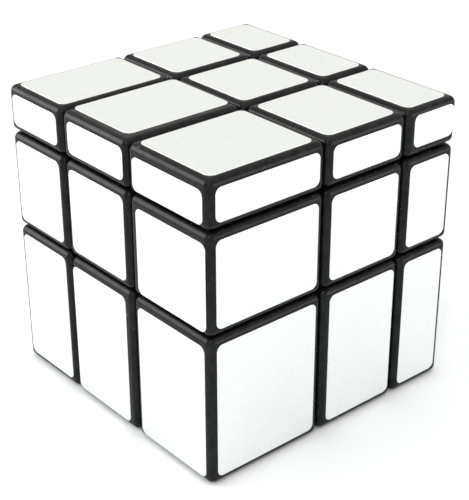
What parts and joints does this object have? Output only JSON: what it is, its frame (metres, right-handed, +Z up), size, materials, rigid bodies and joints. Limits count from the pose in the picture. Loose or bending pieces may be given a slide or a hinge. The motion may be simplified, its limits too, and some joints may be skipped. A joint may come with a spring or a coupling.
{
  "type": "twisty puzzle cube",
  "caption": "Mirror-type twisty puzzle cube: black blocks of unequal height with silver foil, turning about a sprung core.",
  "frame": {"origin": "middle of the flat bottom face that the cube stands on, straight below the middle of the closed cube", "axes": "+Z up towards the thin up layer, -Y out of the front face, +X out of the right face; the core's centre, where all six turning axes meet, is at (-2, 6, 38.5) mm"},
  "size_m": [0.057, 0.057, 0.057],
  "materials": {
    "black_plastic": "satin moulded black plastic",
    "silver_foil": "fine-grained silver foil sticker",
    "white_nylon": "plain white nylon",
    "steel": "zinc-plated steel"
  },
  "bodies": {
    "core": {"core_spider": "white_nylon", "tension_screws_springs_washers": "steel"},
    "centre_up": {"centre_up_hub": "black_plastic", "centre_up_cap": "black_plastic", "centre_up_sticker": "silver_foil"},
    "centre_down": {"centre_down_hub": "black_plastic", "centre_down_cap": "black_plastic", "centre_down_sticker": "silver_foil"},
    "centre_front": {"centre_front_hub": "black_plastic", "centre_front_cap": "black_plastic", "centre_front_sticker": "silver_foil"},
    "centre_back": {"centre_back_hub": "black_plastic", "centre_back_cap": "black_plastic", "centre_back_sticker": "silver_foil"},
    "centre_left": {"centre_left_hub": "black_plastic", "centre_left_cap": "black_plastic", "centre_left_sticker": "silver_foil"},
    "centre_right": {"centre_right_hub": "black_plastic", "centre_right_cap": "black_plastic", "centre_right_sticker": "silver_foil"},
    "edge_up_front": {"edge_up_front_block": "black_plastic", "edge_up_front_stickers": "silver_foil"},
    "edge_up_back": {"edge_up_back_block": "black_plastic", "edge_up_back_stickers": "silver_foil"},
    "edge_up_left": {"edge_up_left_block": "black_plastic", "edge_up_left_stickers": "silver_foil"},
    "edge_up_right": {"edge_up_right_block": "black_plastic", "edge_up_right_stickers": "silver_foil"},
    "edge_down_front": {"edge_down_front_block": "black_plastic", "edge_down_front_stickers": "silver_foil"},
    "edge_down_back": {"edge_down_back_block": "black_plastic", "edge_down_back_stickers": "silver_foil"},
    "edge_down_left": {"edge_down_left_block": "black_plastic", "edge_down_left_stickers": "silver_foil"},
    "edge_down_right": {"edge_down_right_block": "black_plastic", "edge_down_right_stickers": "silver_foil"},
    "edge_front_left": {"edge_front_left_block": "black_plastic", "edge_front_left_stickers": "silver_foil"},
    "edge_front_right": {"edge_front_right_block": "black_plastic", "edge_front_right_stickers": "silver_foil"},
    "edge_back_left": {"edge_back_left_block": "black_plastic", "edge_back_left_stickers": "silver_foil"},
    "edge_back_right": {"edge_back_right_block": "black_plastic", "edge_back_right_stickers": "silver_foil"},
    "corner_up_front_left": {"corner_up_front_left_block": "black_plastic", "corner_up_front_left_stickers": "silver_foil"},
    "corner_up_front_right": {"corner_up_front_right_block": "black_plastic", "corner_up_front_right_stickers": "silver_foil"},
    "corner_up_back_left": {"corner_up_back_left_block": "black_plastic", "corner_up_back_left_stickers": "silver_foil"},
    "corner_up_back_right": {"corner_up_back_right_block": "black_plastic", "corner_up_back_right_stickers": "silver_foil"},
    "corner_down_front_left": {"corner_down_front_left_block": "black_plastic", "corner_down_front_left_stickers": "silver_foil"},
    "corner_down_front_right": {"corner_down_front_right_block": "black_plastic", "corner_down_front_right_stickers": "silver_foil"},
    "corner_down_back_left": {"corner_down_back_left_block": "black_plastic", "corner_down_back_left_stickers": "silver_foil"},
    "corner_down_back_right": {"corner_down_back_right_block": "black_plastic", "corner_down_back_right_stickers": "silver_foil"}
  },
  "joints": [
    {"name": "turn_up", "type": "hinge", "parent": "core", "child": "centre_up", "pos_m": [-0.002, 0.006, 0.0385], "axis": [0, 0, 1], "continuous": true},
    {"name": "turn_down", "type": "hinge", "parent": "core", "child": "centre_down", "pos_m": [-0.002, 0.006, 0.0385], "axis": [0, 0, -1], "continuous": true},
    {"name": "turn_front", "type": "hinge", "parent": "core", "child": "centre_front", "pos_m": [-0.002, 0.006, 0.0385], "axis": [0, -1, 0], "continuous": true},
    {"name": "turn_back", "type": "hinge", "parent": "core", "child": "centre_back", "pos_m": [-0.002, 0.006, 0.0385], "axis": [0, 1, 0], "continuous": true},
    {"name": "turn_left", "type": "hinge", "parent": "core", "child": "centre_left", "pos_m": [-0.002, 0.006, 0.0385], "axis": [-1, 0, 0], "continuous": true},
    {"name": "turn_right", "type": "hinge", "parent": "core", "child": "centre_right", "pos_m": [-0.002, 0.006, 0.0385], "axis": [1, 0, 0], "continuous": true},
    {"name": "edge_up_front_with_front", "type": "hinge", "parent": "centre_up", "child": "edge_up_front", "pos_m": [-0.002, 0.006, 0.0385], "axis": [0, -1, 0], "continuous": true},
    {"name": "edge_up_back_with_back", "type": "hinge", "parent": "centre_up", "child": "edge_up_back", "pos_m": [-0.002, 0.006, 0.0385], "axis": [0, 1, 0], "continuous": true},
    {"name": "edge_up_left_with_left", "type": "hinge", "parent": "centre_up", "child": "edge_up_left", "pos_m": [-0.002, 0.006, 0.0385], "axis": [-1, 0, 0], "continuous": true},
    {"name": "edge_up_right_with_right", "type": "hinge", "parent": "centre_up", "child": "edge_up_right", "pos_m": [-0.002, 0.006, 0.0385], "axis": [1, 0, 0], "continuous": true},
    {"name": "edge_down_front_with_down", "type": "hinge", "parent": "centre_front", "child": "edge_down_front", "pos_m": [-0.002, 0.006, 0.0385], "axis": [0, 0, -1], "continuous": true},
    {"name": "edge_down_back_with_down", "type": "hinge", "parent": "centre_back", "child": "edge_down_back", "pos_m": [-0.002, 0.006, 0.0385], "axis": [0, 0, -1], "continuous": true},
    {"name": "edge_down_left_with_down", "type": "hinge", "parent": "centre_left", "child": "edge_down_left", "pos_m": [-0.002, 0.006, 0.0385], "axis": [0, 0, -1], "continuous": true},
    {"name": "edge_down_right_with_down", "type": "hinge", "parent": "centre_right", "child": "edge_down_right", "pos_m": [-0.002, 0.006, 0.0385], "axis": [0, 0, -1], "continuous": true},
    {"name": "edge_front_left_with_front", "type": "hinge", "parent": "centre_left", "child": "edge_front_left", "pos_m": [-0.002, 0.006, 0.0385], "axis": [0, -1, 0], "continuous": true},
    {"name": "edge_front_right_with_right", "type": "hinge", "parent": "centre_front", "child": "edge_front_right", "pos_m": [-0.002, 0.006, 0.0385], "axis": [1, 0, 0], "continuous": true},
    {"name": "edge_back_left_with_left", "type": "hinge", "parent": "centre_back", "child": "edge_back_left", "pos_m": [-0.002, 0.006, 0.0385], "axis": [-1, 0, 0], "continuous": true},
    {"name": "edge_back_right_with_back", "type": "hinge", "parent": "centre_right", "child": "edge_back_right", "pos_m": [-0.002, 0.006, 0.0385], "axis": [0, 1, 0], "continuous": true},
    {"name": "corner_up_front_left_with_left", "type": "hinge", "parent": "edge_up_front", "child": "corner_up_front_left", "pos_m": [-0.002, 0.006, 0.0385], "axis": [-1, 0, 0], "continuous": true},
    {"name": "corner_up_front_right_with_right", "type": "hinge", "parent": "edge_up_front", "child": "corner_up_front_right", "pos_m": [-0.002, 0.006, 0.0385], "axis": [1, 0, 0], "continuous": true},
    {"name": "corner_up_back_left_with_left", "type": "hinge", "parent": "edge_up_back", "child": "corner_up_back_left", "pos_m": [-0.002, 0.006, 0.0385], "axis": [-1, 0, 0], "continuous": true},
    {"name": "corner_up_back_right_with_right", "type": "hinge", "parent": "edge_up_back", "child": "corner_up_back_right", "pos_m": [-0.002, 0.006, 0.0385], "axis": [1, 0, 0], "continuous": true},
    {"name": "corner_down_front_left_with_left", "type": "hinge", "parent": "edge_down_front", "child": "corner_down_front_left", "pos_m": [-0.002, 0.006, 0.0385], "axis": [-1, 0, 0], "continuous": true},
    {"name": "corner_down_front_right_with_right", "type": "hinge", "parent": "edge_down_front", "child": "corner_down_front_right", "pos_m": [-0.002, 0.006, 0.0385], "axis": [1, 0, 0], "continuous": true},
    {"name": "corner_down_back_left_with_left", "type": "hinge", "parent": "edge_down_back", "child": "corner_down_back_left", "pos_m": [-0.002, 0.006, 0.0385], "axis": [-1, 0, 0], "continuous": true},
    {"name": "corner_down_back_right_with_right", "type": "hinge", "parent": "edge_down_back", "child": "corner_down_back_right", "pos_m": [-0.002, 0.006, 0.0385], "axis": [1, 0, 0], "continuous": true}
  ],
  "couplings": [
    {"joint": "edge_up_front_with_front", "follows": "turn_front", "ratio": 1},
    {"joint": "edge_up_back_with_back", "follows": "turn_back", "ratio": 1},
    {"joint": "edge_up_left_with_left", "follows": "turn_left", "ratio": 1},
    {"joint": "edge_up_right_with_right", "follows": "turn_right", "ratio": 1},
    {"joint": "edge_down_front_with_down", "follows": "turn_down", "ratio": 1},
    {"joint": "edge_down_back_with_down", "follows": "turn_down", "ratio": 1},
    {"joint": "edge_down_left_with_down", "follows": "turn_down", "ratio": 1},
    {"joint": "edge_down_right_with_down", "follows": "turn_down", "ratio": 1},
    {"joint": "edge_front_left_with_front", "follows": "turn_front", "ratio": 1},
    {"joint": "edge_front_right_with_right", "follows": "turn_right", "ratio": 1},
    {"joint": "edge_back_left_with_left", "follows": "turn_left", "ratio": 1},
    {"joint": "edge_back_right_with_back", "follows": "turn_back", "ratio": 1},
    {"joint": "corner_up_front_left_with_left", "follows": "turn_left", "ratio": 1},
    {"joint": "corner_up_front_right_with_right", "follows": "turn_right", "ratio": 1},
    {"joint": "corner_up_back_left_with_left", "follows": "turn_left", "ratio": 1},
    {"joint": "corner_up_back_right_with_right", "follows": "turn_right", "ratio": 1},
    {"joint": "corner_down_front_left_with_left", "follows": "turn_left", "ratio": 1},
    {"joint": "corner_down_front_right_with_right", "follows": "turn_right", "ratio": 1},
    {"joint": "corner_down_back_left_with_left", "follows": "turn_left", "ratio": 1},
    {"joint": "corner_down_back_right_with_right", "follows": "turn_right", "ratio": 1}
  ]
}
